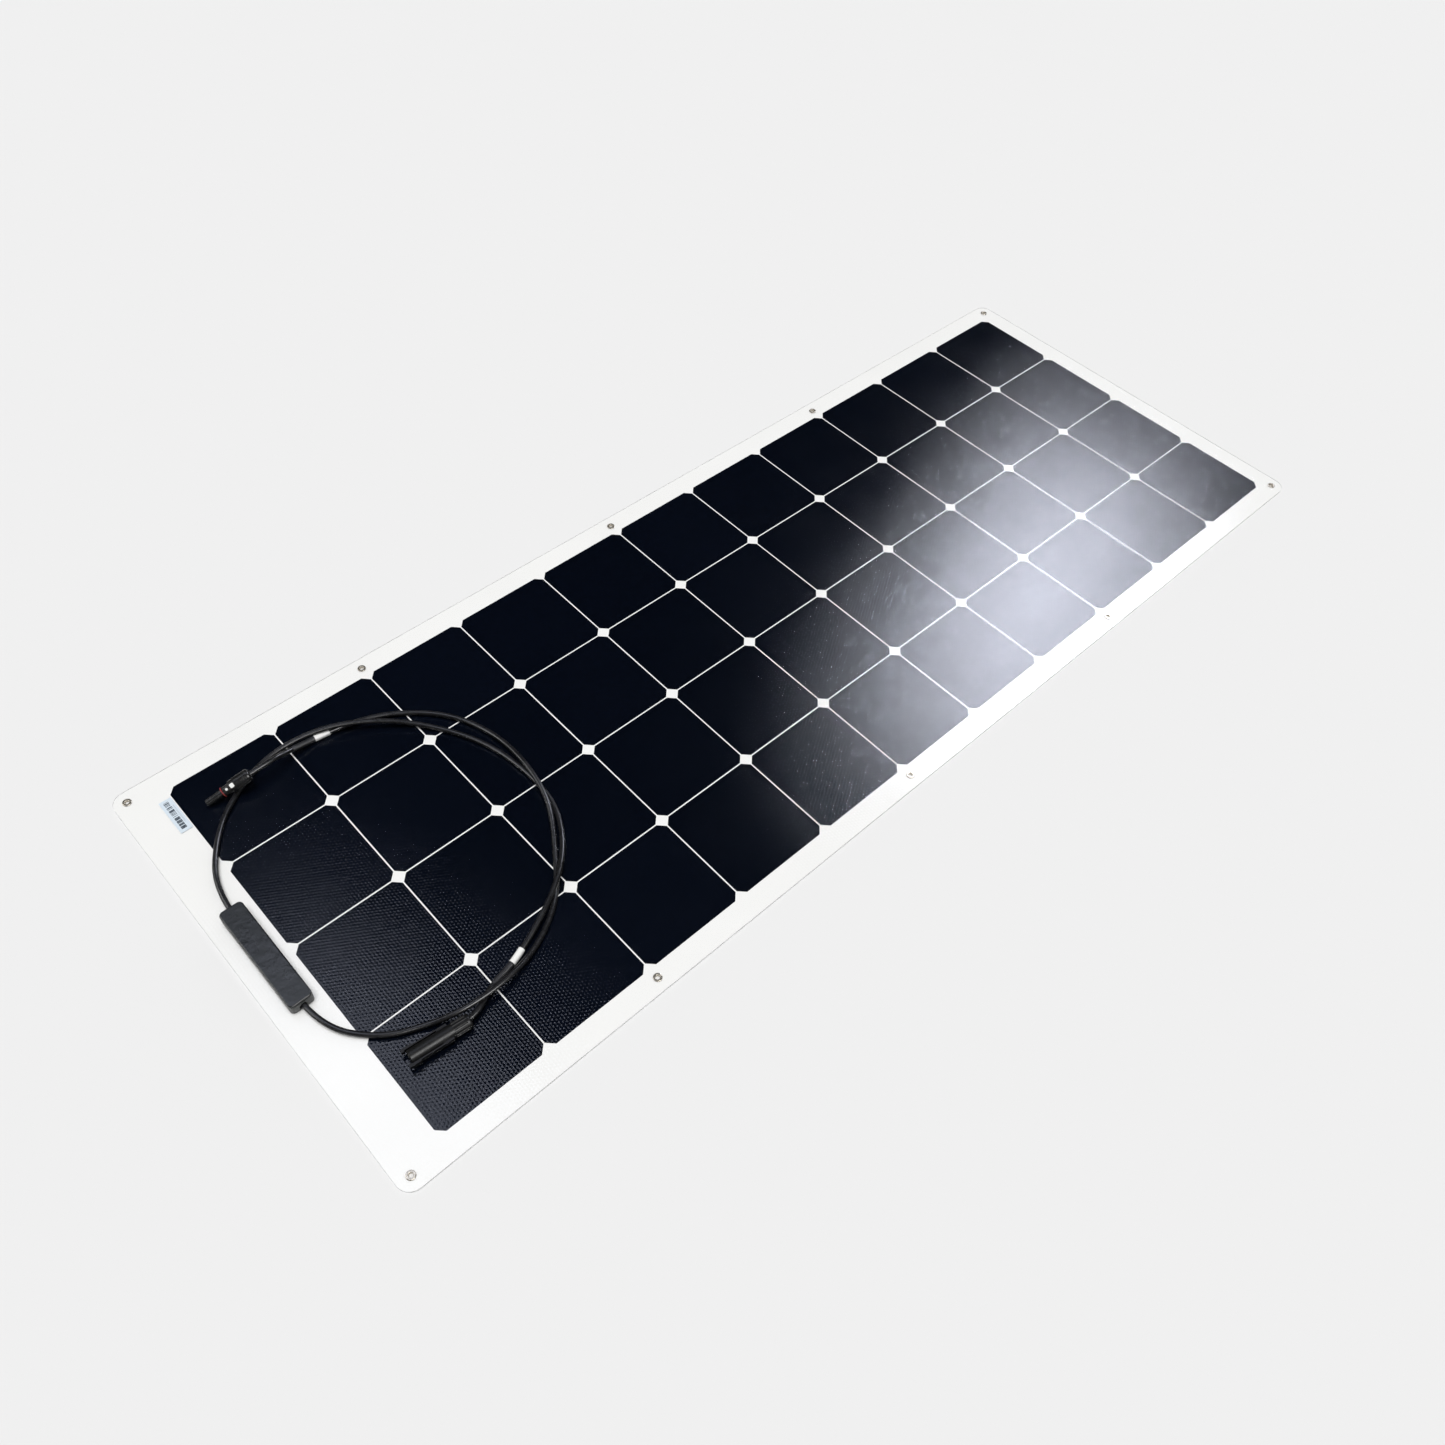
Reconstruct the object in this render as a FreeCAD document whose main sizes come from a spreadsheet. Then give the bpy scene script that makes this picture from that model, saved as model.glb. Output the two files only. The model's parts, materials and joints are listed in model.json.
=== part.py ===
import FreeCAD, Part
import math
import os
from FreeCAD import Placement, Rotation, Vector

# Flexible solar sheet with front junction box and two connector leads.
# Frame: origin at the centre of the underside, +X away from the junction box,
# +Y across the sheet, +Z up through the front face. Millimetres.

doc = FreeCAD.newDocument("flexible_solar_sheet")
dims = doc.addObject("Spreadsheet::Sheet", "Dims")

SIZES = {
    # laminate outline
    "sheet_length": 1488, "sheet_width": 565, "corner_radius": 16,
    # laminate layers, from the underside up
    "backsheet_thick": 1.0, "rear_glue_thick": 0.7, "front_glue_thick": 0.4, "film_thick": 0.3,
    # cells
    "cell_size": 126.5, "cell_chamfer": 8, "cell_thick": 0.2, "cell_gap": 1.5, "cells_per_string": 11,
    "string_count": 4, "array_shift": 13.5,
    # copper behind the cells
    "link_length": 8, "link_width": 110, "link_thick": 0.15, "bus_width": 8, "bus_thick": 0.2,
    "bus_overlap": 2, "bus_gap": 2, "riser_width": 5, "riser_x": -708, "lead_riser_y": 44,
    "box_centre_y": 4,
    # eyelets
    "eyelet_bore": 2.5, "eyelet_barrel": 2.9, "eyelet_flange": 4.9, "eyelet_rim": 4.0,
    "eyelet_dome": 0.8, "eyelet_inset": 15, "washer_thick": 0.35, "side_eyelet_pitch": 384,
    "side_eyelet_shift": -50.5, "side_eyelet_count": 3,
    # serial label
    "label_length": 50, "label_width": 14, "label_thick": 0.1, "label_x": -705, "label_y": 194,
    # junction box
    "box_x": -713.5, "box_length": 137, "box_width": 26, "box_corner": 5, "box_wall": 1.8,
    "box_end_wall": 9, "box_floor": 1.2, "base_height": 12, "lid_thick": 2.5, "lid_round": 1.6,
    "tongue_depth": 1.5, "tongue_play": 0.1, "pad_thick": 0.5, "pad_inset": 1.0, "mark_raise": 0.3,
    "mark_length": 7, "mark_width": 1.4, "mark_inset": 12, "seam_height": 0.8, "seam_depth": 0.9,
    # terminals, diodes and cable seals inside the box
    "terminal_length": 12, "terminal_width": 8, "terminal_thick": 1.4, "terminal_lift": 3.8,
    "stub_radius": 1.2, "stub_lap": 3, "lead_end_inset": 12.5,
    "diode_radius": 2.7, "diode_length": 9.5, "diode_wire": 0.6, "seal_radius": 4.2,
    "seal_length": 7.5, "seal_recess": 1.5,
    # leads
    "cable_radius": 3, "cable_gap": 0.2, "crossing_gap": 1.0, "exit_lift": 5.0,
    "shrink_wall": 0.5, "marker_wall": 0.7, "marker_length": 18, "shrink_length": 28,
    "marker_from_plug": 84, "marker_from_socket": 71, "marked_lift": 1.2,
    # gland end, the same on both connectors; x runs from the nut's rear face to the tip
    "nut_radius": 7.75, "nut_length": 18.8, "nut_clearance": 0.2, "nut_round": 3,
    "nut_mouth": 3.7, "rib_count": 14, "rib_radius": 1.1,
    "spigot_start": 8, "spigot_radius": 6, "spigot_play": 0.05,
    "gland_bore": 4.9, "gland_depth": 8, "cage_start": 2.5, "cage_play": 0.3, "cage_slit": 0.8,
    "crimp_radius": 2.8, "crimp_length": 12,
    # plug
    "plug_length": 54.8, "plug_collar_radius": 7.5, "plug_collar_end": 25, "plug_neck_radius": 5.6,
    "plug_neck_end": 33, "ring_seat_radius": 4.7, "ring_seat_end": 35.4, "ring_section": 0.7,
    "nose_radius": 4.2, "nose_chamfer": 0.8,
    "sleeve_bore": 2.0, "sleeve_end": 52.3, "window_length": 3, "window_width": 5, "window_depth": 1.5,
    # socket
    "socket_length": 70, "barrel_radius": 7.4, "barrel_end": 66, "mouth_radius": 6.2,
    "mouth_depth": 20, "pin_radius": 1.95, "pin_end": 60, "arm_start": 22, "arm_width": 5.5,
    "arm_thick": 1.4, "arm_gap": 0.6, "arm_root": 11, "hook_length": 3, "hook_height": 1.2,
    "arm_pad_length": 12, "arm_pad_thick": 1.4,
    # where the connectors lie: rear face of the nut, heading and downward pitch
    "plug_x": -614.2, "plug_y": 201, "plug_z": 22, "plug_heading": 173.1, "plug_pitch": 15.6,
    "socket_x": -602.5, "socket_y": -184.3, "socket_z": 10.3, "socket_heading": 174,
    "socket_pitch": 0,
}
for row, (name, value) in enumerate(SIZES.items(), start=1):
    dims.set(f"A{row}", name)
    dims.set(f"B{row}", str(value))
    dims.setAlias(f"B{row}", name)
doc.recompute()

X_AXIS = Rotation(Vector(0, 1, 0), 90)  # turns a primitive's own Z axis to lie along X
Y_AXIS = Rotation(Vector(1, 0, 0), -90)  # turns it to lie along Y
UPRIGHT = Rotation()
nodes = []


def size(name):
    """A driving dimension, as a number."""
    return float(dims.get(name))


def formula(text):
    """The expression with every driving dimension's name read from the sheet."""
    words = []
    word = ""
    for letter in text + " ":
        if letter.isalnum() or letter == "_":
            word += letter
            continue
        words.append(f"Dims.{word}" if word in SIZES else word)
        words.append(letter)
        word = ""
    return "".join(words).strip()


def bind(item, **expressions):
    """Ties properties of a document object to the sheet."""
    for prop, text in expressions.items():
        item.setExpression(prop.replace("__", "."), formula(text))


def place(item, x="0", y="0", z="0", turn=UPRIGHT):
    item.Placement = Placement(Vector(), turn)
    bind(item, Placement__Base__x=x, Placement__Base__y=y, Placement__Base__z=z)
    return item


def keep(item, label):
    """Registers a document object as one sub-part of the sheet."""
    item.Label = label
    nodes.append(item)
    return item


def new_body(label):
    body = doc.addObject("PartDesign::Body", label)
    body.AllowCompound = True
    return keep(body, label)


def block(body, length, width, height, x="0", y="0", z="0", cut=False):
    """A box with its lowest corner at x, y, z."""
    kind = "PartDesign::SubtractiveBox" if cut else "PartDesign::AdditiveBox"
    item = body.newObject(kind, "Block")
    bind(item, Length=length, Width=width, Height=height)
    return place(item, x, y, z)


def rod(body, radius, height, x="0", y="0", z="0", turn=UPRIGHT, cut=False):
    """A cylinder that starts at x, y, z and runs along its turned axis."""
    kind = "PartDesign::SubtractiveCylinder" if cut else "PartDesign::AdditiveCylinder"
    item = body.newObject(kind, "Rod")
    bind(item, Radius=radius, Height=height)
    return place(item, x, y, z, turn)


def dress(body, kind, base, picks, amount):
    """A fillet or chamfer on the edges of base that picks accepts."""
    doc.recompute()
    names = [f"Edge{i}" for i, edge in enumerate(base.Shape.Edges, start=1) if picks(edge)]
    item = body.newObject(f"PartDesign::{kind}", kind)
    item.Base = (base, names)
    bind(item, **{"Radius" if kind == "Fillet" else "Size": amount})
    return item


def is_upright(edge):
    box = edge.BoundBox
    return box.ZLength > 0.01 and box.XLength < 1e-6 and box.YLength < 1e-6


def ring_at(axis, position, radius):
    """Picks the full circles of one radius at one place along an axis."""
    def picks(edge):
        curve = edge.Curve
        if curve.TypeId != "Part::GeomCircle" or abs(curve.Radius - radius) > 1e-3:
            return False
        return abs(getattr(curve.Center, axis) - position) < 1e-3
    return picks


def repeat(body, feature, axis, pitch, count):
    """Repeats one feature in a row along an axis of the body."""
    line = next(item for item in body.Origin.OriginFeatures if item.Role == f"{axis}_Axis")
    row = body.newObject("PartDesign::LinearPattern", "Row")
    row.Originals = [feature]
    row.Direction = (line, [""])
    bind(row, Length=f"({pitch}) * (({count}) - 1)", Occurrences=count)
    body.Tip = row
    return row


def part_item(kind, label, **properties):
    item = doc.addObject(f"Part::{kind}", label)
    for prop, value in properties.items():
        setattr(item, prop, value)
    return item


def carve(label, base, tools):
    """base with room cut in it for every tool."""
    group = part_item("MultiFuse", f"{label}_room", Shapes=tools)
    return keep(part_item("Cut", label, Base=base, Tool=group), label)


# Laminate ---------------------------------------------------------------------

def layer(label, bottom, thickness, hole):
    """One full-size layer with rounded corners and the ten eyelet holes."""
    body = doc.addObject("PartDesign::Body", f"{label}_layer")
    body.AllowCompound = True
    slab = block(body, "sheet_length", "sheet_width", thickness,
                 "-sheet_length / 2", "-sheet_width / 2", bottom)
    dress(body, "Fillet", slab, is_upright, "corner_radius")
    eyelet_grid(body, lambda x, y: rod(body, hole, thickness, x, y, bottom, cut=True))
    return body


def eyelet_grid(body, cutter):
    """Cuts the four corner holes and the six side holes with the same tool."""
    half_x = "(sheet_length / 2 - eyelet_inset)"
    half_y = "(sheet_width / 2 - eyelet_inset)"
    for y in (f"-{half_y}", half_y):
        for x in (f"-{half_x}", half_x):
            cutter(x, y)
        for step in range(int(size("side_eyelet_count"))):
            cutter(f"side_eyelet_shift + side_eyelet_pitch * {step - 1}", y)


rear_bottom = "backsheet_thick"
rear_top = "(backsheet_thick + rear_glue_thick)"
front_top = "(backsheet_thick + rear_glue_thick + front_glue_thick)"
sheet_top = "(backsheet_thick + rear_glue_thick + front_glue_thick + film_thick)"
pitch = "(cell_size + cell_gap)"
first_cell_x = f"(array_shift - {pitch} * cells_per_string / 2 + cell_gap / 2)"
last_cell_end = f"(array_shift + {pitch} * cells_per_string / 2 - cell_gap / 2)"
cell_bottom = f"({rear_top} - cell_thick)"


def string_y(number):
    """Centre line of a string; string 1 is at the far +Y side."""
    return f"{pitch} * ((string_count + 1) / 2 - {number})"


backsheet = layer("backsheet", "0", rear_bottom, "eyelet_barrel")
eyelet_grid(backsheet,
            lambda x, y: rod(backsheet, "eyelet_flange", "2 * washer_thick", x, y, "0", cut=True))
keep(backsheet, "backsheet")
rear_layer = layer("rear_encapsulant", rear_bottom, "rear_glue_thick", "eyelet_barrel")
front_layer = layer("front_encapsulant", rear_top, "front_glue_thick", "eyelet_barrel")
film_layer = layer("front_film", front_top, "film_thick", "eyelet_barrel")

embedded = []
for number in range(1, int(size("string_count")) + 1):
    string = new_body(f"cell_string_{number}")
    cell = block(string, "cell_size", "cell_size", "cell_thick", first_cell_x,
                 f"{string_y(number)} - cell_size / 2", cell_bottom)
    cells = repeat(string, cell, "X", pitch, "cells_per_string")
    string.Tip = dress(string, "Chamfer", cells, is_upright, "cell_chamfer")
    links = new_body(f"cell_links_{number}")
    link = block(links, "link_length", "link_width", "link_thick",
                 f"{first_cell_x} + cell_size + cell_gap / 2 - link_length / 2",
                 f"{string_y(number)} - link_width / 2", f"{cell_bottom} - link_thick")
    repeat(links, link, "X", pitch, "cells_per_string - 1")
    embedded += [string, links]

# String end ribbons and the three risers into the junction box ------------------

def ribbon(label, x, low_y, high_y):
    """A flat copper strip along Y."""
    body = new_body(label)
    block(body, "bus_width", f"{high_y} - ({low_y})", "bus_thick", x, low_y, bus_bottom)
    return body


def riser(body, y, end_x):
    """A strip from a ribbon to the junction box, then up to its terminal."""
    block(body, f"{end_x} - riser_x", "riser_width", "bus_thick", "riser_x", f"{y} - riser_width / 2",
          bus_bottom)
    block(body, "bus_thick", "riser_width", f"{terminal_z} - {bus_bottom}", "riser_x",
          f"{y} - riser_width / 2", bus_bottom)
    return body


def lead_ribbon(number, side):
    """The ribbon of an outer string: clear of the cells, with a tab under the first one."""
    y = f"(box_centre_y + {side} * lead_riser_y)"
    low_y, high_y = f"{string_y(number)} - {reach}", f"{string_y(number)} + {reach}"
    outer_x = f"({inner_x} - bus_gap - bus_width)"
    span = (f"{y} - riser_width / 2", high_y) if side > 0 else (low_y, f"{y} + riser_width / 2")
    body = ribbon(f"string_{number}_lead", outer_x, *span)
    block(body, "2 * bus_width + bus_gap", f"2 * {reach}", "bus_thick", outer_x, low_y, bus_bottom)
    return riser(body, y, f"({outer_x} + bus_width)")


bus_bottom = f"({cell_bottom} - bus_thick)"
inner_x = f"({first_cell_x} + bus_overlap - bus_width)"
far_x = f"({last_cell_end} - bus_overlap)"
reach = "(cell_size / 4)"
base_bottom = f"({sheet_top} + pad_thick)"
terminal_z = f"({base_bottom} + box_floor + terminal_lift)"
far_ribbons = [
    ribbon(f"far_ribbon_{first}_{second}", far_x, f"{string_y(second)} - {reach}",
           f"{string_y(first)} + {reach}")
    for first, second in ((1, 2), (3, 4))
]
centre = ribbon("centre_ribbon", inner_x, f"{string_y(3)} - {reach}", f"{string_y(2)} + {reach}")
leads = [
    lead_ribbon(1, 1),
    riser(centre, "box_centre_y", f"({inner_x} + bus_width)"),
    lead_ribbon(4, -1),
]

carve("rear_encapsulant", rear_layer, embedded + far_ribbons + leads)
carve("front_encapsulant", front_layer, leads)
carve("front_film", film_layer, leads)

# Eyelets ------------------------------------------------------------------------

def eyelet(x, y):
    """A flanged tube, rolled over its washer underneath."""
    rod(eyelets, "eyelet_flange", "eyelet_dome", x, y, sheet_top)
    rod(eyelets, "eyelet_barrel", sheet_top, x, y)
    rod(eyelets, "eyelet_rim", "washer_thick", x, y)
    rod(eyelets, "eyelet_bore", f"{sheet_top} + eyelet_dome", x, y, cut=True)


def washer(x, y):
    """A flat ring seated in the recess of the backsheet."""
    rod(washers, "eyelet_flange", "washer_thick", x, y, "washer_thick")
    rod(washers, "eyelet_barrel", "washer_thick", x, y, "washer_thick", cut=True)


eyelets = new_body("eyelets")
eyelet_grid(eyelets, eyelet)
doc.recompute()
dome_top = eyelets.Shape.BoundBox.ZMax
dress(eyelets, "Fillet", eyelets.Tip, ring_at("z", dome_top, size("eyelet_flange")), "eyelet_dome * 0.9")
dress(eyelets, "Fillet", eyelets.Tip, ring_at("z", dome_top, size("eyelet_bore")), "eyelet_dome * 0.6")
washers = new_body("eyelet_washers")
eyelet_grid(washers, washer)

label = new_body("serial_label")
block(label, "label_width", "label_length", "label_thick", "label_x", "label_y", sheet_top)

# Junction box -------------------------------------------------------------------

def footprint(body, height, z, inset="0"):
    """A slab with the box's rounded plan, drawn in by inset."""
    slab = block(body, f"box_width - 2 * {inset}", f"box_length - 2 * {inset}", height,
                 f"box_x - box_width / 2 + {inset}", f"box_centre_y - box_length / 2 + {inset}", z)
    doc.recompute()
    foot = slab.Shape.BoundBox.ZMin + 0.001
    return dress(body, "Fillet", slab, lambda edge: is_upright(edge) and edge.BoundBox.ZMin < foot,
                 f"box_corner - {inset}")


def chamber(body, height, z, play="0", cut=False):
    """The space inside the side walls, end walls and floor."""
    return block(body, f"box_width - 2 * (box_wall + {play})", f"box_length - 2 * (box_end_wall + {play})",
                 height, f"box_x - box_width / 2 + box_wall + {play}",
                 f"box_centre_y - box_length / 2 + box_end_wall + {play}", z, cut)


def box_end(side):
    return f"(box_centre_y + {side} * box_length / 2)"


exit_z = f"({sheet_top} + exit_lift)"
base_top = f"({base_bottom} + base_height)"
chamber_floor = f"({base_bottom} + box_floor)"

pad = doc.addObject("PartDesign::Body", "pad_blank")
footprint(pad, "pad_thick", sheet_top, "pad_inset")
carve("adhesive_pad", pad, leads)

base = doc.addObject("PartDesign::Body", "base_blank")
footprint(base, "base_height", base_bottom, "seam_depth")
footprint(base, "base_height - seam_height", base_bottom)
chamber(base, "base_height", chamber_floor, cut=True)
rod(base, "seal_radius", "box_length", "box_x", box_end(-1), exit_z, Y_AXIS, cut=True)
carve("junction_box_base", base, leads)

lid = new_body("junction_box_lid")
cover = footprint(lid, "lid_thick", base_top)
doc.recompute()
lid_top = lid.Shape.BoundBox.ZMax
dress(lid, "Fillet", cover, lambda edge: edge.BoundBox.ZMin > lid_top - 0.001, "lid_round")
chamber(lid, "tongue_depth", f"{base_top} - tongue_depth", "tongue_play")
for side, bars in ((1, (("mark_length", "mark_width"), ("mark_width", "mark_length"))),
                   (-1, (("mark_length", "mark_width"),))):
    for across, along in bars:
        block(lid, across, along, "mark_raise", f"box_x - {across} / 2",
              f"{box_end(side)} - {side} * mark_inset - {along} / 2", f"{base_top} + lid_thick")

for name, side in (("socket_lead_seal", 1), ("plug_lead_seal", -1)):
    seal = new_body(name)
    start = f"{box_end(side)} - seal_recess" if side > 0 else f"{box_end(side)} + seal_recess + seal_length"
    low = f"{start} - seal_length"
    rod(seal, "seal_radius", "seal_length", "box_x", low, exit_z, Y_AXIS)
    rod(seal, "cable_radius", "seal_length", "box_x", low, exit_z, Y_AXIS, cut=True)

terminals = []
for name, side in (("socket_lead_terminal", 1), ("centre_terminal", 0), ("plug_lead_terminal", -1)):
    terminal = new_body(name)
    middle = f"(box_centre_y + {side} * lead_riser_y)"
    block(terminal, "terminal_width", "terminal_length", "terminal_thick", "riser_x - terminal_width",
          f"{middle} - terminal_length / 2", f"{terminal_z} - terminal_thick")
    if side:
        stub = f"(box_length / 2 - lead_end_inset - lead_riser_y - terminal_length / 2)"
        low = f"{middle} + terminal_length / 2" if side > 0 else f"{middle} - terminal_length / 2 - {stub}"
        rod(terminal, "stub_radius", f"{stub} + stub_lap", "box_x",
            low if side < 0 else f"{low} - stub_lap", exit_z, Y_AXIS)
    terminals.append(terminal)

diodes = []
for name, side in (("bypass_diode_1", 1), ("bypass_diode_2", -1)):
    diode = new_body(name)
    middle = f"(box_centre_y + {side} * lead_riser_y / 2)"
    wire = "(lead_riser_y - terminal_length)"
    height = f"{terminal_z} - terminal_thick / 2"
    rod(diode, "diode_radius", "diode_length", "box_x", f"{middle} - diode_length / 2", height, Y_AXIS)
    rod(diode, "diode_wire", wire, "box_x", f"{middle} - {wire} / 2", height, Y_AXIS)
    diodes.append(diode)

# Leads --------------------------------------------------------------------------

rest = (size("backsheet_thick") + size("rear_glue_thick") + size("front_glue_thick") + size("film_thick")
        + size("cable_gap") + size("cable_radius"))
over = rest + 2 * size("cable_radius") + size("crossing_gap")
marked = rest + size("marked_lift")
exit_height = rest - size("cable_gap") - size("cable_radius") + size("exit_lift")
box_x = size("box_x")
inner_end = size("box_length") / 2 - size("lead_end_inset")


def lying(connector):
    """Placement of a connector: its own x axis runs from the nut to the tip."""
    turn = Rotation(Vector(0, 0, 1), size(f"{connector}_heading"))
    turn = turn.multiply(Rotation(Vector(0, 1, 0), size(f"{connector}_pitch")))
    return Placement(Vector(*(size(f"{connector}_{axis}") for axis in "xyz")), turn)


def on_axis(connector, distance):
    return lying(connector).multVec(Vector(distance, 0, 0))


cable_stop = size("spigot_start") + size("gland_depth")

# The lead to the socket leaves the box's +Y end, runs once round the ring, over the
# plug's lead twice and under it three times, and comes back outside the ring.
SOCKET_ROUTE = [
    Vector(box_x, size("box_centre_y") + inner_end, exit_height),
    Vector(box_x, 106, exit_height),
    Vector(-683, 160, rest),
    Vector(-644, 197, rest),
    Vector(-584, 224.6, rest),
    Vector(-521.6, 213, over + 2.4),
    Vector(-462.5, 180.7, over),
    Vector(-419, 136, rest),
    Vector(-390, 81, rest),
    Vector(-379, 20, rest),
    Vector(-382, -38, rest),
    Vector(-413, -92, over),
    Vector(-455.8, -127.8, over),
    Vector(-527.8, -160.3, marked),
    Vector(-568.7, -167.7, marked),
    on_axis("socket", -6.5),
    on_axis("socket", cable_stop),
]

# The lead to the plug leaves the -Y end and goes round the other way.
PLUG_ROUTE = [
    Vector(box_x, size("box_centre_y") - inner_end, exit_height),
    Vector(box_x, -95, exit_height),
    Vector(-677, -141, rest),
    Vector(-632.6, -160.8, rest),
    Vector(-602.5, -173.9, over + 2.8),
    Vector(-558, -176.5, over + 2.8),
    Vector(-508, -164, rest),
    Vector(-458, -135, rest),
    Vector(-421, -86, rest),
    Vector(-387, -33, over),
    Vector(-375, 27, over),
    Vector(-375, 88, rest),
    Vector(-399, 145, rest),
    Vector(-447, 187.3, rest),
    Vector(-496.6, 205.1, marked),
    Vector(-553.2, 211.9, marked),
    on_axis("plug", -20.8),
    on_axis("plug", cable_stop),
]


def lead_path(name, route):
    """Straight runs joined by tangent arcs, each as large as its two runs allow."""
    edges = []
    radii = []
    start = route[0]
    for before, corner, after in zip(route, route[1:], route[2:]):
        back = before - corner
        ahead = after - corner
        trim = 0.45 * min(back.Length, ahead.Length)
        half_turn = (math.pi - back.getAngle(ahead)) / 2
        radii.append(trim / math.tan(half_turn))
        back.normalize()
        ahead.normalize()
        inward = (back + ahead).normalize()
        into = corner + back * trim
        out = corner + ahead * trim
        middle = corner + inward * (radii[-1] / math.cos(half_turn) - radii[-1])
        edges.append(Part.LineSegment(start, into).toShape())
        edges.append(Part.Arc(into, middle, out).toShape())
        start = out
    edges.append(Part.LineSegment(start, route[-1]).toShape())
    print(name, "bend radii", [round(radius) for radius in radii])
    return edges


def stretch(edges, start, length):
    """The part of a path from start, measured along it."""
    picked = []
    walked = 0
    for edge in edges:
        low = max(start - walked, 0)
        high = min(start + length - walked, edge.Length)
        if high - low > 0.01:
            ends = (edge.getParameterByLength(low), edge.getParameterByLength(high))
            picked.append(edge.Curve.toShape(*ends))
        walked += edge.Length
    return picked


def swept(edges, radius):
    first = edges[0]
    start = first.valueAt(first.FirstParameter)
    circle = Part.Circle(start, first.tangentAt(first.FirstParameter), radius).toShape()
    return Part.Wire(edges).makePipeShell([Part.Wire(circle)], True, False)


def soft_piece(name, shape):
    item = doc.addObject("Part::Feature", name)
    item.Shape = shape
    item.Placement = Placement()
    return keep(item, name)


cables = []
for connector, route in (("socket", SOCKET_ROUTE), ("plug", PLUG_ROUTE)):
    path = lead_path(connector, route)
    total = sum(edge.Length for edge in path)
    radius = size("cable_radius")
    lead = soft_piece(f"{connector}_lead", swept(path, radius))
    expected = math.pi * radius ** 2 * total
    print(connector, "lead length", round(total, 1), "volume ratio", round(lead.Shape.Volume / expected, 4))
    marker_end = total - cable_stop - size(f"marker_from_{connector}")
    for name, start, length, wall in (
        ("marker", marker_end - size("marker_length"), size("marker_length"), size("marker_wall")),
        ("heat_shrink", marker_end, size("shrink_length"), size("shrink_wall")),
    ):
        piece = stretch(path, start, length)
        soft_piece(f"{connector}_lead_{name}", swept(piece, radius + wall).cut(swept(piece, radius)))
    cables.append(lead)

potting = doc.addObject("PartDesign::Body", "potting_blank")
chamber(potting, "base_height - box_floor - tongue_depth", chamber_floor)
carve("potting", potting, leads + terminals + diodes + cables)

# Connectors ---------------------------------------------------------------------

def along(body, radius, start, end, cut=False):
    """A cylinder about the connector's axis."""
    return rod(body, radius, f"({end}) - ({start})", start, turn=X_AXIS, cut=cut)


def polar(body, feature, count):
    line = next(item for item in body.Origin.OriginFeatures if item.Role == "X_Axis")
    ring = body.newObject("PartDesign::PolarPattern", "Ring")
    ring.Originals = [feature]
    ring.Axis = (line, [""])
    ring.Angle = 360
    bind(ring, Occurrences=count)
    body.Tip = ring
    return ring


def connector_body(connector, name):
    body = new_body(f"{connector}_{name}")
    body.Placement = lying(connector)
    for axis in "xyz":
        bind(body, **{f"Placement__Base__{axis}": f"{connector}_{axis}"})
    return body


spigot_end = "nut_length + nut_clearance"
crimp_start = "(spigot_start + gland_depth)"

for connector in ("plug", "socket"):
    nut = connector_body(connector, "gland_nut")
    shell = along(nut, "nut_radius", "0", "nut_length")
    dress(nut, "Fillet", shell, ring_at("x", 0, size("nut_radius")), "nut_round")
    rib = rod(nut, "rib_radius", "nut_length", "nut_round + rib_radius", z="nut_radius",
              turn=X_AXIS, cut=True)
    polar(nut, rib, "rib_count")
    along(nut, "nut_mouth", "0", "nut_length", cut=True)
    along(nut, "gland_bore + cage_play", "cage_start - cage_play", "nut_length", cut=True)
    along(nut, "spigot_radius + spigot_play", "spigot_start - cage_play", "nut_length", cut=True)

    cage = connector_body(connector, "clamp_cage")
    along(cage, "gland_bore", "cage_start", "spigot_start")
    along(cage, "cable_radius + spigot_play", "cage_start", "spigot_start", cut=True)
    slit = block(cage, "(spigot_start - cage_start) * 0.7", "cage_slit", "gland_bore + 1", "cage_start",
                 "-cage_slit / 2", "0", cut=True)
    polar(cage, slit, "6")

    seal = connector_body(connector, "gland_seal")
    along(seal, "gland_bore", "spigot_start", crimp_start)
    along(seal, "cable_radius", "spigot_start", crimp_start, cut=True)

plug = connector_body("plug", "housing")
along(plug, "spigot_radius", "spigot_start", spigot_end)
collar = along(plug, "plug_collar_radius", spigot_end, "plug_collar_end")
collar_rim = ring_at("x", size("plug_collar_end"), size("plug_collar_radius"))
dress(plug, "Chamfer", collar, collar_rim, "nose_chamfer")
along(plug, "plug_neck_radius", "plug_collar_end", "plug_neck_end")
along(plug, "ring_seat_radius", "plug_neck_end", "ring_seat_end")
nose = along(plug, "nose_radius", "ring_seat_end", "plug_length")
dress(plug, "Chamfer", nose, ring_at("x", size("plug_length"), size("nose_radius")), "nose_chamfer")
along(plug, "gland_bore", "spigot_start", crimp_start, cut=True)
along(plug, "crimp_radius", crimp_start, "plug_length", cut=True)
for side in (1, -1):
    low_y = "plug_collar_radius - window_depth" if side > 0 else "-plug_collar_radius - window_depth"
    block(plug, "window_length", "2 * window_depth", "window_width",
          "plug_collar_end - window_length - nose_chamfer", low_y, "-window_width / 2", cut=True)

sleeve = connector_body("plug", "contact_sleeve")
along(sleeve, "crimp_radius", crimp_start, "sleeve_end")
along(sleeve, "sleeve_bore", f"{crimp_start} + crimp_length + sleeve_bore", "sleeve_end", cut=True)

ring = connector_body("plug", "o_ring")
torus = ring.newObject("PartDesign::AdditiveTorus", "Torus")
bind(torus, Radius1="ring_seat_radius + ring_section", Radius2="ring_section")
place(torus, "(plug_neck_end + ring_seat_end) / 2", turn=X_AXIS)

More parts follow.
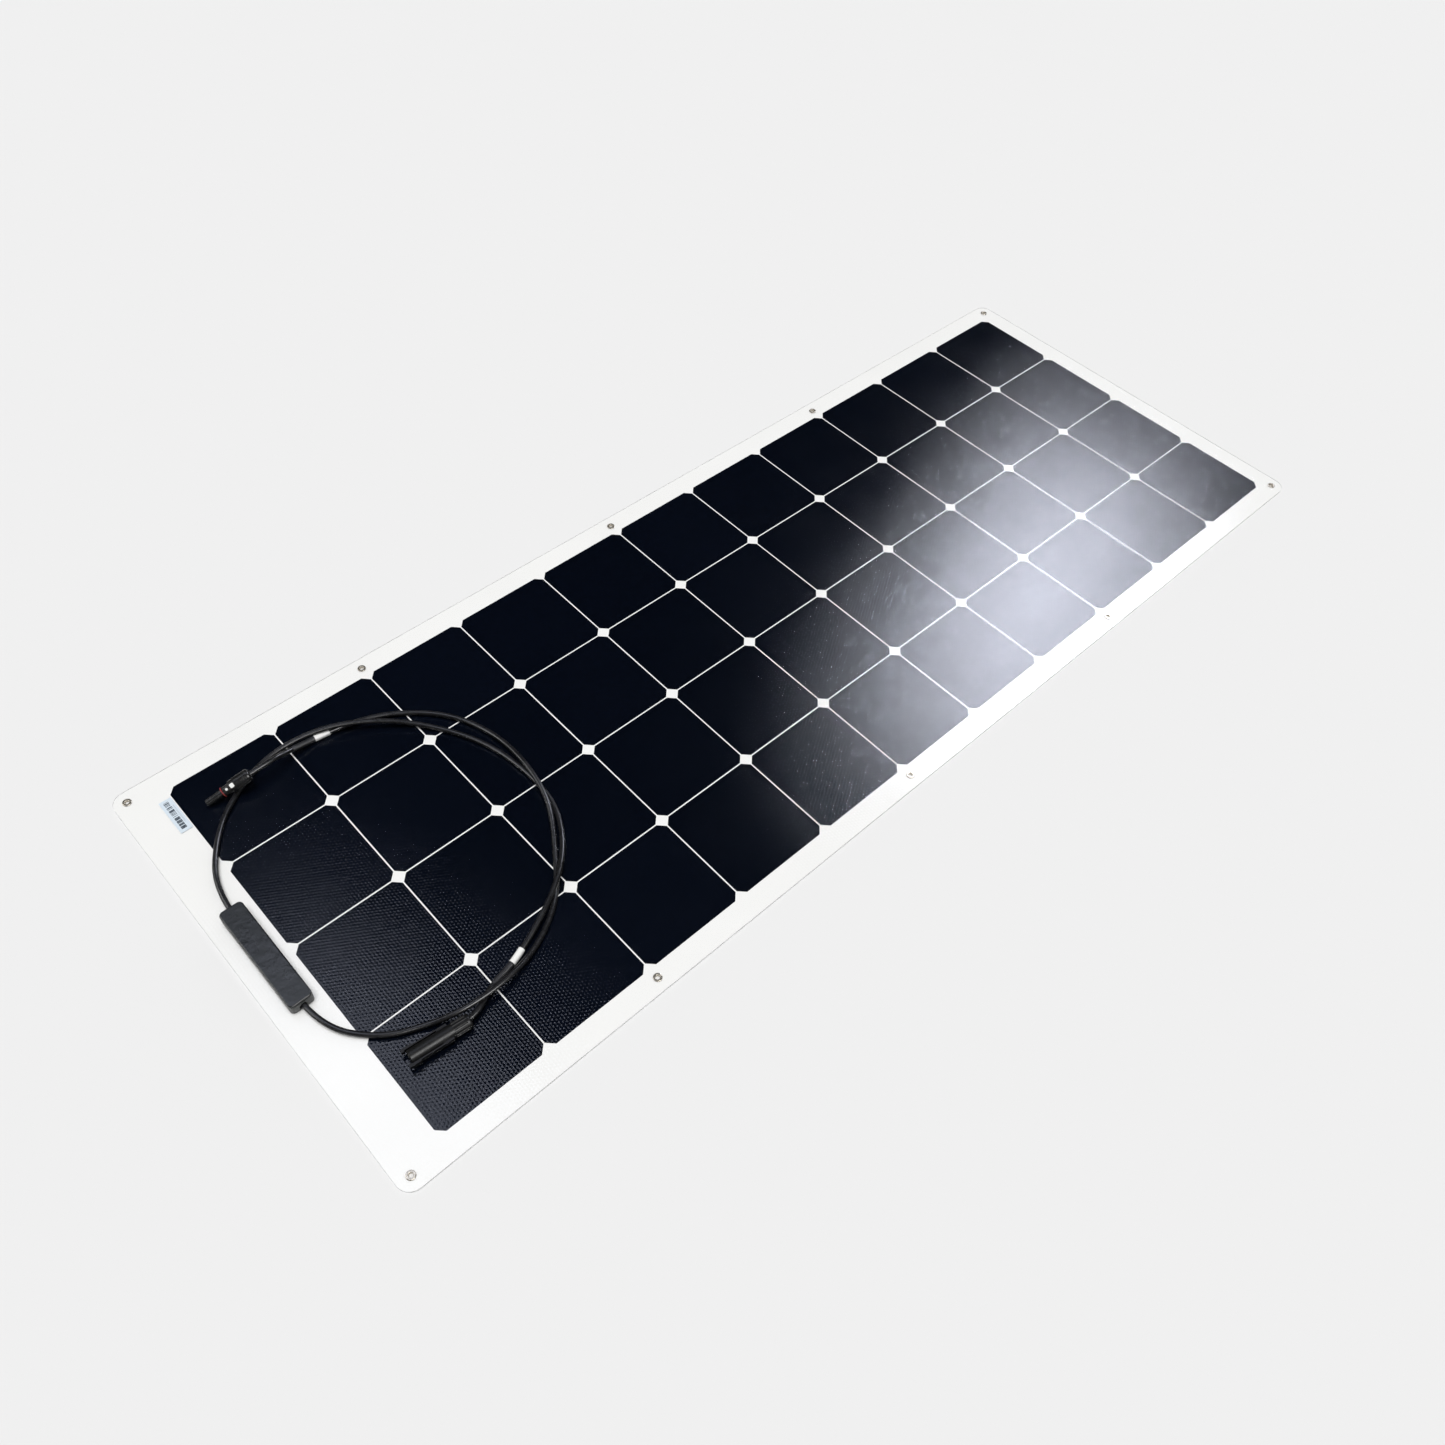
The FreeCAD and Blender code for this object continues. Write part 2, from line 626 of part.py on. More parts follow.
socket = connector_body("socket", "housing")
along(socket, "spigot_radius", "spigot_start", spigot_end)
barrel = along(socket, "barrel_radius", spigot_end, "barrel_end")
barrel_rim = ring_at("x", size("barrel_end"), size("barrel_radius"))
dress(socket, "Chamfer", barrel, barrel_rim, "nose_chamfer / 2")
for side in (1, -1):
    inner = "(barrel_radius + arm_gap)"
    root_y = "barrel_radius - arm_gap" if side > 0 else f"-{inner} - arm_thick"
    block(socket, "arm_root", "2 * arm_gap + arm_thick", "arm_width", "arm_start", root_y, "-arm_width / 2")
    arm_y = inner if side > 0 else f"-{inner} - arm_thick"
    block(socket, "socket_length - arm_start", "arm_thick", "arm_width", "arm_start", arm_y,
          "-arm_width / 2")
    pad_y = f"{inner} + arm_thick" if side > 0 else f"-{inner} - arm_thick - arm_pad_thick"
    block(socket, "arm_pad_length", "arm_pad_thick", "arm_width", "socket_length - arm_pad_length", pad_y,
          "-arm_width / 2")
    hook_y = f"{inner} - hook_height" if side > 0 else f"-{inner}"
    block(socket, "hook_length", "hook_height", "arm_width", "socket_length - hook_length", hook_y,
          "-arm_width / 2")
along(socket, "gland_bore", "spigot_start", crimp_start, cut=True)
along(socket, "crimp_radius", crimp_start, f"{crimp_start} + crimp_length", cut=True)
along(socket, "pin_radius", crimp_start, "barrel_end", cut=True)
along(socket, "mouth_radius", "barrel_end - mouth_depth", "barrel_end", cut=True)

pin = connector_body("socket", "contact_pin")
along(pin, "crimp_radius", crimp_start, f"{crimp_start} + crimp_length")
rounded = along(pin, "pin_radius", crimp_start, "pin_end")
dress(pin, "Chamfer", rounded, ring_at("x", size("pin_end"), size("pin_radius")), "pin_radius / 3")

# Check and write ----------------------------------------------------------------

doc.recompute()
for item in doc.Objects:
    if "Invalid" in item.State or "Error" in item.State:
        raise RuntimeError(f"{item.Label} failed: {item.State}")
os.makedirs("parts", exist_ok=True)
for item in nodes:
    if item.Shape.isNull() or not item.Shape.isValid() or not item.Shape.Solids:
        raise RuntimeError(f"{item.Label} has no valid solid")
    item.Shape.exportStep(f"parts/{item.Label}.step")
    box = item.Shape.BoundBox
    print(item.Label, len(item.Shape.Solids), "solids", round(item.Shape.Volume, 1), "mm3, z",
          round(box.ZMin, 2), "to", round(box.ZMax, 2))
print(len(nodes), "nodes")
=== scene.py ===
import json
import math
import bmesh
import bpy
from mathutils import Matrix, Vector


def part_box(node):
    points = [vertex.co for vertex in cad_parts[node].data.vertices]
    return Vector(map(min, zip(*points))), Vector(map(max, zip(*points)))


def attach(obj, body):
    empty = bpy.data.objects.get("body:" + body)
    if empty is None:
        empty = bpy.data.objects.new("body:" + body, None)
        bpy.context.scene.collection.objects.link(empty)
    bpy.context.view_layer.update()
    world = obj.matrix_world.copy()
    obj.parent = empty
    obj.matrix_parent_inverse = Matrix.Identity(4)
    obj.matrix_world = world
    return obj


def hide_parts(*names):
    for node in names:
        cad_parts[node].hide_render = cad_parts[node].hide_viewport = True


# Flexible solar sheet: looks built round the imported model. Metres, the CAD's own frame.

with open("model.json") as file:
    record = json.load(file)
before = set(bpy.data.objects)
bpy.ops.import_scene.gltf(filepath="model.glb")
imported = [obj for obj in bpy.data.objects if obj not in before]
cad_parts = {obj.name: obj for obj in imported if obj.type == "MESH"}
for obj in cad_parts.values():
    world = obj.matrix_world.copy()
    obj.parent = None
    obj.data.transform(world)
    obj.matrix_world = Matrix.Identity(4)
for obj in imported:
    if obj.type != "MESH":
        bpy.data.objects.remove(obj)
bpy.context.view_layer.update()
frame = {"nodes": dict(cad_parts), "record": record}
nodes = frame["nodes"]
scene = bpy.context.scene
scene.view_settings.view_transform = "Standard"
scene.view_settings.look = "None"

# Camera -------------------------------------------------------------------------

camera_data = bpy.data.cameras.new("Camera")
camera_data.sensor_width = 36
camera_data.lens = 30.835
camera = bpy.data.objects.new("Camera", camera_data)
camera.location = (-0.81721, -0.68287, 1.1452)
camera.rotation_euler = [math.radians(a) for a in (37.9736, -3.1388, -42.9338)]
scene.collection.objects.link(camera)
scene.camera = camera

# Meshes -------------------------------------------------------------------------

AROUND = 40  # sides of a round piece
SHARP_ANGLE = 40  # degrees


def finish_mesh(name, mesh):
    """Turns a bmesh into an object, smooth except at its sharp edges."""
    data = bpy.data.meshes.new(name)
    mesh.to_mesh(data)
    mesh.free()
    for face in data.polygons:
        face.use_smooth = True
    data.set_sharp_from_angle(angle=math.radians(SHARP_ANGLE))
    item = bpy.data.objects.new(name, data)
    scene.collection.objects.link(item)
    return item


# Leads --------------------------------------------------------------------------

CABLE_RADIUS = 0.003
SLEEVE_PLAY = 0.00002
SHEET_TOP = 0.0024
REST = 0.0056  # height of a cable's centre where it lies on the sheet
OVER = 0.0126  # where it crosses over the other cable
MARKED = 0.0068  # where its sleeves lie on the sheet
BOX_X = -0.7135
EXIT_Z = 0.0074
CABLE_STOP = 0.016  # from the rear of a gland nut to the end of the cable in it


def connector_axis(rear, heading, pitch):
    """Rear face centre of a connector's nut, and the direction to its tip."""
    heading, pitch = math.radians(heading), math.radians(pitch)
    level = math.cos(pitch)
    forward = Vector((math.cos(heading) * level, math.sin(heading) * level, -math.sin(pitch)))
    return Vector(rear), forward


PLUG_REAR, PLUG_AXIS = connector_axis((-0.6142, 0.201, 0.022), 173.1, 15.6)
SOCKET_REAR, SOCKET_AXIS = connector_axis((-0.6025, -0.1843, 0.0103), 174, 0)

SOCKET_ROUTE = [
    (BOX_X, 0.060, EXIT_Z),
    (BOX_X, 0.106, EXIT_Z),
    (-0.683, 0.160, REST),
    (-0.644, 0.197, REST),
    (-0.584, 0.2246, REST),
    (-0.5216, 0.213, OVER + 0.0024),
    (-0.4625, 0.1807, OVER),
    (-0.419, 0.136, REST),
    (-0.390, 0.081, REST),
    (-0.379, 0.020, REST),
    (-0.382, -0.038, REST),
    (-0.413, -0.092, OVER),
    (-0.4558, -0.1278, OVER),
    (-0.5278, -0.1603, MARKED),
    (-0.5687, -0.1677, MARKED),
    tuple(SOCKET_REAR - SOCKET_AXIS * 0.0065),
    tuple(SOCKET_REAR + SOCKET_AXIS * CABLE_STOP),
]

PLUG_ROUTE = [
    (BOX_X, -0.052, EXIT_Z),
    (BOX_X, -0.095, EXIT_Z),
    (-0.677, -0.141, REST),
    (-0.6326, -0.1608, REST),
    (-0.6025, -0.1739, OVER + 0.0028),
    (-0.558, -0.1765, OVER + 0.0028),
    (-0.508, -0.164, REST),
    (-0.458, -0.135, REST),
    (-0.421, -0.086, REST),
    (-0.387, -0.033, OVER),
    (-0.375, 0.027, OVER),
    (-0.375, 0.088, REST),
    (-0.399, 0.145, REST),
    (-0.447, 0.1873, REST),
    (-0.4966, 0.2051, MARKED),
    (-0.5532, 0.2119, MARKED),
    tuple(PLUG_REAR - PLUG_AXIS * 0.0208),
    tuple(PLUG_REAR + PLUG_AXIS * CABLE_STOP),
]


def lead(name, route):
    """A cable on one smooth spline through the route, and points along its centre line."""
    curve = bpy.data.curves.new(name, "CURVE")
    curve.dimensions = "3D"
    spline = curve.splines.new("NURBS")
    spline.points.add(len(route) - 1)
    for point, place in zip(spline.points, route):
        point.co = (*place, 1)
        point.radius = CABLE_RADIUS
    spline.order_u = 3
    spline.use_endpoint_u = True
    spline.resolution_u = 16
    item = bpy.data.objects.new(name, curve)
    scene.collection.objects.link(item)
    line = read_line(item)
    curve.bevel_depth = 1
    curve.bevel_resolution = 7
    curve.use_fill_caps = True
    return item, line


def read_line(item):
    """Points along the spline of a curve that has no bevel yet."""
    bpy.context.view_layer.update()
    mesh = bpy.data.meshes.new_from_object(item)
    line = [vertex.co.copy() for vertex in mesh.vertices]
    bpy.data.meshes.remove(mesh)
    return line


def line_length(line):
    return sum((end - start).length for start, end in zip(line, line[1:]))


def point_at(line, distance):
    """Point and direction at a distance along a line."""
    for start, end in zip(line, line[1:]):
        step = (end - start).length
        if distance <= step or end is line[-1]:
            return start.lerp(end, distance / step), (end - start).normalized()
        distance -= step


def sleeve(name, line, start, profile):
    """A closed tube round a line. profile lists (distance from start, outer radius)."""
    inner = CABLE_RADIUS + SLEEVE_PLAY
    outline = [(0, inner)] + profile + [(profile[-1][0], inner)]
    mesh = bmesh.new()
    rings = []
    side = Vector((0, 0, 1))
    for distance, radius in outline:
        centre, ahead = point_at(line, start + distance)
        side = (side - ahead * ahead.dot(side)).normalized()
        third = ahead.cross(side)
        ring = []
        for step in range(AROUND):
            turn = 2 * math.pi * step / AROUND
            outward = side * math.cos(turn) + third * math.sin(turn)
            ring.append(mesh.verts.new(centre + outward * radius))
        rings.append(ring)
    for first, second in zip(rings, rings[1:] + rings[:1]):
        for step in range(AROUND):
            after = (step + 1) % AROUND
            mesh.faces.new((first[step], first[after], second[after], second[step]))
    bmesh.ops.recalc_face_normals(mesh, faces=mesh.faces)
    return finish_mesh(name, mesh)


def wavy_profile(length, radius, lip, first_lip, last_lip, steps, wave, turn):
    """Outer profile of a sleeve. first_lip and last_lip are the two radii at either end, a lip apart."""
    profile = [(0, first_lip[0]), (lip, first_lip[1])]
    profile += [(length * i / steps, radius + wave * math.sin(i * turn)) for i in range(1, steps)]
    profile += [(length - lip, last_lip[0]), (length, last_lip[1])]
    return profile


MARKER_LENGTH = 0.018
SHRINK_LENGTH = 0.028
MARKER_PROFILE = wavy_profile(MARKER_LENGTH, radius=0.0037, lip=0.0002, first_lip=(0.0035, 0.0037),
                              last_lip=(0.0037, 0.0035), steps=12, wave=0.00003, turn=1.9)
SHRINK_PROFILE = wavy_profile(SHRINK_LENGTH, radius=0.00347, lip=0.0004, first_lip=(0.0033, 0.00345),
                              last_lip=(0.0034, 0.0032), steps=14, wave=0.00004, turn=2.3)
leads = {}
for name, route, from_nut in (("socket", SOCKET_ROUTE, 0.071), ("plug", PLUG_ROUTE, 0.084)):
    cable, line = lead(f"{name}_cable", route)
    marker_end = line_length(line) - CABLE_STOP - from_nut
    marker = sleeve(f"{name}_marker", line, marker_end - MARKER_LENGTH, MARKER_PROFILE)
    shrink = sleeve(f"{name}_shrink", line, marker_end, SHRINK_PROFILE)
    leads[name] = (cable, marker, shrink)
    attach(cable, "sheet")
    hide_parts(f"{name}_lead")
    for piece, node_name, slot_name in (
        (marker, f"{name}_lead_marker", "marker_white"),
        (shrink, f"{name}_lead_heat_shrink", "shrink_black"),
    ):
        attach(piece, "sheet")
        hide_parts(node_name)
    fittings = ["gland_nut", "clamp_cage", "gland_seal", "housing"]
    fittings += ["contact_sleeve", "o_ring"] if name == "plug" else ["contact_pin"]

# Clear front film ---------------------------------------------------------------

FILM_LIFT = 0.00006  # the film's underside above the cells
FILM_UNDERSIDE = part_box("rear_encapsulant")[1][2] + FILM_LIFT
CORNER_RADIUS = 0.016
CORNER_STEPS = 16
EYELET_HOLE = 0.003
EYELET_HOLE_POINTS = 24
EYELET_INSET = 0.015
EYELET_COLUMNS = (-0.4345, -0.0505, 0.3335)
LEVEL_FACE = 0.5  # a face whose normal rises or falls by more than this is level


def arc(centre, radius, first, last, steps):
    """Points along an arc, angles in degrees."""
    turns = [math.radians(first + (last - first) * i / steps) for i in range(steps + 1)]
    return [(centre[0] + radius * math.cos(t), centre[1] + radius * math.sin(t)) for t in turns]


def add_outline(curve, points):
    spline = curve.splines.new("POLY")
    spline.points.add(len(points) - 1)
    for point, place in zip(spline.points, points):
        point.co = (*place, 0, 1)
    spline.use_cyclic_u = True


def film_finish(rise):
    """Material index of a film face: its top, its edge or its underside."""
    if rise > LEVEL_FACE:
        return 0
    return 1 if rise > -LEVEL_FACE else 2


def film():
    """The laminate's clear skin: a thin plate with rounded corners and an opening at each eyelet."""
    low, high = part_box("front_film")
    curve = bpy.data.curves.new("film_outline", "CURVE")
    curve.dimensions = "2D"
    curve.fill_mode = "BOTH"
    curve.extrude = (SHEET_TOP - FILM_UNDERSIDE) / 2
    outline = []
    for side_x, side_y, first in ((1, 1, 0), (-1, 1, 90), (-1, -1, 180), (1, -1, 270)):
        centre = (side_x * (high[0] - CORNER_RADIUS), side_y * (high[1] - CORNER_RADIUS))
        outline += arc(centre, CORNER_RADIUS, first, first + 90, CORNER_STEPS)
    add_outline(curve, outline)
    last_point = 360 - 360 / EYELET_HOLE_POINTS
    for side in (-1, 1):
        row = side * (high[1] - EYELET_INSET)
        for x in (low[0] + EYELET_INSET, *EYELET_COLUMNS, high[0] - EYELET_INSET):
            add_outline(curve, arc((x, row), EYELET_HOLE, 0, last_point, EYELET_HOLE_POINTS - 1))
    item = bpy.data.objects.new("film_outline", curve)
    scene.collection.objects.link(item)
    bpy.context.view_layer.update()
    data = bpy.data.meshes.new_from_object(item)
    bpy.data.objects.remove(item)
    mesh = bmesh.new()
    mesh.from_mesh(data)
    bmesh.ops.remove_doubles(mesh, verts=mesh.verts, dist=1e-6)
    bmesh.ops.recalc_face_normals(mesh, faces=mesh.faces)
    bmesh.ops.translate(mesh, verts=mesh.verts, vec=(0, 0, (SHEET_TOP + FILM_UNDERSIDE) / 2))
    for face in mesh.faces:
        face.material_index = film_finish(face.normal.z)
    return finish_mesh("clear_film", mesh)


clear_film = film()
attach(clear_film, "sheet")
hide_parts("front_film", "front_encapsulant")

# Printed marks on the plug --------------------------------------------------------

MARK_TURN = math.radians(32)  # round the plug, from its upper side
MARK_THICK = 0.00006
MARK_RINGS = 5


def print_mark(name, along, radius, half_length, half_width, squareness):
    """A thin rounded patch of ink wrapped on the plug's round body."""
    across = Vector((-PLUG_AXIS.y, PLUG_AXIS.x, 0)).normalized()
    upward = PLUG_AXIS.cross(across)
    mesh = bmesh.new()

    def vertex(distance, offset, height):
        turn = MARK_TURN + offset / radius
        outward = upward * math.cos(turn) + across * math.sin(turn)
        return mesh.verts.new(PLUG_REAR + PLUG_AXIS * (along + distance) + outward * (radius + height))

    layers = []
    for height in (-MARK_THICK, MARK_THICK):
        centre = vertex(0, 0, height)
        circles = []
        for ring in range(1, MARK_RINGS + 1):
            share = ring / MARK_RINGS
            circle = []
            for step in range(AROUND):
                angle = 2 * math.pi * step / AROUND
                c, s = math.cos(angle), math.sin(angle)
                reach = (abs(c) ** squareness + abs(s) ** squareness) ** (-1 / squareness)
                circle.append(vertex(half_length * c * reach * share, half_width * s * reach * share, height))
            circles.append(circle)
        layers.append((centre, circles))
    for centre, circles in layers:
        for step in range(AROUND):
            after = (step + 1) % AROUND
            mesh.faces.new((centre, circles[0][step], circles[0][after]))
            for inner, outer in zip(circles, circles[1:]):
                mesh.faces.new((inner[step], outer[step], outer[after], inner[after]))
    lower, upper = layers[0][1][-1], layers[1][1][-1]
    for step in range(AROUND):
        after = (step + 1) % AROUND
        mesh.faces.new((lower[step], lower[after], upper[after], upper[step]))
    bmesh.ops.recalc_face_normals(mesh, faces=mesh.faces)
    return finish_mesh(name, mesh)


marks = [
    print_mark("plug_square_mark", along=0.0217, radius=0.0075, half_length=0.0023, half_width=0.0025,
               squareness=5),
    print_mark("plug_round_mark", along=0.0287, radius=0.0056, half_length=0.0014, half_width=0.0014,
               squareness=2),
]
for mark in marks:
    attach(mark, "sheet")

# Shader nodes ---------------------------------------------------------------------

NOISE_RANGE = (0.3, 0.7)  # where nearly all of a noise texture's values lie


def node(tree, kind, inputs=None, **settings):
    """Adds a shader node. An input given as a socket is linked, and a value is set."""
    item = tree.nodes.new(kind)
    for name, value in settings.items():
        setattr(item, name, value)
    for name, value in (inputs or {}).items():
        if isinstance(value, bpy.types.NodeSocket):
            tree.links.new(value, item.inputs[name])
        else:
            item.inputs[name].default_value = value
    return item


def blank(name):
    """An empty material, its tree and the coordinates that ride with the piece."""
    item = bpy.data.materials.new(name)
    item.use_nodes = True
    tree = item.node_tree
    tree.nodes.clear()
    where = node(tree, "ShaderNodeTexCoord").outputs["Object"]
    return item, tree, where


def close(tree, shader):
    node(tree, "ShaderNodeOutputMaterial", {"Surface": shader})


def ramp(tree, value, *stops):
    """A colour ramp; each stop is (place, (r, g, b))."""
    item = node(tree, "ShaderNodeValToRGB", {"Fac": value})
    elements = item.color_ramp.elements
    while len(elements) < len(stops):
        elements.new(0.5)
    for element, (place, colour) in zip(elements, stops):
        element.position = place
        element.color = (*colour, 1)
    return item.outputs["Color"]


def span(tree, value, low, high, source=NOISE_RANGE):
    """Stretches a value from its source range to low..high."""
    item = node(tree, "ShaderNodeMapRange", {"Value": value, "From Min": source[0], "From Max": source[1],
                                             "To Min": low, "To Max": high})
    return item.outputs["Result"]


def noise(tree, where, scale, detail=3.0):
    item = node(tree, "ShaderNodeTexNoise", {"Vector": where, "Scale": scale, "Detail": detail,
                                             "Roughness": 0.55})
    return item.outputs["Fac"]


def arithmetic(tree, operation, first, second=0.0):
    item = node(tree, "ShaderNodeMath", operation=operation)
    for socket, value in zip(item.inputs, (first, second)):
        if isinstance(value, bpy.types.NodeSocket):
            tree.links.new(value, socket)
        else:
            socket.default_value = value
    return item.outputs[0]


def plus(tree, first, second):
    return arithmetic(tree, "ADD", first, second)


def times(tree, first, second):
    return arithmetic(tree, "MULTIPLY", first, second)


def bump(tree, height, distance, **normal):
    """The normal of a surface that rises by distance where height is one."""
    return node(tree, "ShaderNodeBump", {"Strength": 1.0, "Distance": distance, "Height": height,
                                         **normal}).outputs["Normal"]


def principled(tree, **inputs):
    """Closes a material with one Principled shader; an input's name has its spaces as underscores."""
    named = {name.replace("_", " "): value for name, value in inputs.items()}
    close(tree, node(tree, "ShaderNodeBsdfPrincipled", named).outputs["BSDF"])


def shade(colour, factor):
    return tuple(min(1, c * factor) for c in colour)


# Materials ------------------------------------------------------------------------

ROUGH_SPREAD = 0.08
PATCH_SHARE = 0.6  # of a surface's unevenness, the rest being its grain

CELL_PITCH = 0.128
DIMPLE_COLUMNS = 0.0034
DIMPLE_SPACING = 0.0042
DIMPLE_DEPTH = 0.000027
DIMPLE_UNEVENNESS = (0.9, 1.1)
WAVE_HEIGHT = 0.3
SKIN_IOR = 1.42
SKIN_ROUGHNESS = (0.11, 0.14)
BONDED_GLOSS = 0.9  # of the skin's gloss, what the layers bonded under it carry

LABEL_STEPS = 62
LABEL_BARS = ((0.08, 0.93), (0.24, 0.66))  # along and across the label
LABEL_DASHES = ((0.22, 0.78), (0.74, 0.84))
DASH_RATE = 150
DASH_INK = 0.35


def surface(name, colour, rough, spread=0.12, patch=60, grain=1500, relief=0.00002, metallic=0.0,
            specular=0.5):
    """Moulded or cast material: tone and roughness vary in patches, and a fine grain stands on it."""
    item, tree, where = blank(name)
    patches = noise(tree, where, patch)
    fine = noise(tree, where, grain, 2)
    mixed = plus(tree, times(tree, patches, PATCH_SHARE), times(tree, fine, 1 - PATCH_SHARE))
    principled(
        tree,
        Base_Color=ramp(tree, patches, (0.3, shade(colour, 1 - spread)), (0.7, shade(colour, 1 + spread))),
        Roughness=span(tree, mixed, rough - ROUGH_SPREAD, min(1, rough + ROUGH_SPREAD)),
        Metallic=metallic,
        Specular_IOR_Level=specular,
        Normal=bump(tree, fine, relief),
    )
    return item


def embossing(tree, where, depth):
    """The normal of the laminate's face: staggered rows of slightly uneven dimples on slight waves."""
    split = node(tree, "ShaderNodeSeparateXYZ", {"Vector": where})
    columns = times(tree, split.outputs["X"], 2 * math.pi / DIMPLE_COLUMNS)
    staggered = times(tree, split.outputs["Y"], 2 * math.pi / DIMPLE_SPACING)
    half = times(tree, columns, 0.5)
    lattice = arithmetic(tree, "COSINE", columns)
    for operation in ("ADD", "SUBTRACT"):
        slanted = arithmetic(tree, operation, half, staggered)
        lattice = plus(tree, lattice, arithmetic(tree, "COSINE", slanted))
    uneven = span(tree, noise(tree, where, 150, 2), *DIMPLE_UNEVENNESS, (0.35, 0.65))
    waves = times(tree, noise(tree, where, 30, 2), WAVE_HEIGHT)
    return bump(tree, plus(tree, times(tree, lattice, uneven), waves), depth)


def skin_roughness(tree, where):
    return span(tree, noise(tree, where, 14, 3), *SKIN_ROUGHNESS)


def box_shell(name, colour, rough):
    """Moulded shell of the box: cloudy, satin and softly uneven, with fine grain and light scuffs."""
    item, tree, where = blank(name)
    clouds = noise(tree, where, 35, 4)
    grain = noise(tree, where, 2600, 2)
    dents = noise(tree, where, 110, 2)
    stretched = node(tree, "ShaderNodeMapping", {"Vector": where, "Rotation": (0, 0, math.radians(20)),
                                                 "Scale": (1, 9, 1)}).outputs["Vector"]
    scuffs = span(tree, noise(tree, stretched, 260, 2), 0, 1, (0.62, 0.75))
    scuffed = plus(tree, clouds, times(tree, scuffs, 0.12))
    principled(
        tree,
        Base_Color=ramp(tree, scuffed, (0.3, shade(colour, 0.75)), (0.7, shade(colour, 1.35))),
        Roughness=span(tree, clouds, rough - 0.07, rough + 0.10),
        Normal=bump(tree, grain, 0.00003, Normal=bump(tree, dents, 0.00035)),
    )
    return item


def cell_silicon():
    """Near-black back-contact cells, each a slightly different navy, with the bonded film's gloss."""
    item, tree, where = blank("cell_silicon")
    split = node(tree, "ShaderNodeSeparateXYZ", {"Vector": where})
    from_end = arithmetic(tree, "SUBTRACT", split.outputs["X"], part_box("cell_string_1")[0][0])
    columns = arithmetic(tree, "FLOOR", arithmetic(tree, "DIVIDE", from_end, CELL_PITCH))
    rows = arithmetic(tree, "FLOOR", arithmetic(tree, "DIVIDE", split.outputs["Y"], CELL_PITCH))
    place = node(tree, "ShaderNodeCombineXYZ", {"X": columns, "Y": rows}).outputs["Vector"]
    lot = node(tree, "ShaderNodeTexWhiteNoise", {"Vector": place}, noise_dimensions="3D").outputs["Value"]
    cloud = noise(tree, where, 9, 4)
    mixed = plus(tree, times(tree, lot, 0.5), times(tree, cloud, 0.5))
    principled(
        tree,
        Base_Color=ramp(tree, mixed, (0.2, (0.0013, 0.0023, 0.0053)), (0.8, (0.0019, 0.0031, 0.0070))),
        Roughness=skin_roughness(tree, where),
        IOR=SKIN_IOR,
        Specular_IOR_Level=BONDED_GLOSS / 2,
        Normal=embossing(tree, where, DIMPLE_DEPTH),
    )
    return item


def encapsulant():
    """The white ground between and round the cells, glossy through the film bonded on it."""
    item, tree, where = blank("encapsulant_white")
    patches = noise(tree, where, 8)
    principled(
        tree,
        Base_Color=ramp(tree, patches, (0.3, (0.80, 0.80, 0.79)), (0.7, (0.825, 0.825, 0.815))),
        Roughness=skin_roughness(tree, where),
        IOR=SKIN_IOR,
        Specular_IOR_Level=BONDED_GLOSS / 2,
        Normal=embossing(tree, where, DIMPLE_DEPTH / 3),
    )
    return item


def film_top():
    """Clear skin, seen only by the part of the gloss that its outer face adds."""
    item, tree, where = blank("film_top")
    normal = embossing(tree, where, DIMPLE_DEPTH)
    gloss = node(tree, "ShaderNodeBsdfAnisotropic", {
        "Color": (1, 1, 1, 1),
        "Roughness": skin_roughness(tree, where),
        "Normal": normal,
    })
    facing = node(tree, "ShaderNodeFresnel", {"IOR": SKIN_IOR, "Normal": normal}).outputs["Fac"]
    inside = node(tree, "ShaderNodeNewGeometry").outputs["Backfacing"]
    share = times(tree, facing, arithmetic(tree, "SUBTRACT", 1.0, inside))
    share = times(tree, share, 1 - BONDED_GLOSS)
    clear = node(tree, "ShaderNodeBsdfTransparent")
    close(tree, mix(tree, share, clear.outputs["BSDF"], gloss.outputs["BSDF"]))
    return item


def mix(tree, share, first, second):
    """Two shaders in one, the second by its share."""
    item = node(tree, "ShaderNodeMixShader", {"Fac": share})
    tree.links.new(first, item.inputs[1])
    tree.links.new(second, item.inputs[2])
    return item.outputs["Shader"]


def film_underside():
    item, tree, _ = blank("film_underside")
    close(tree, node(tree, "ShaderNodeBsdfTransparent").outputs["BSDF"])
    return item


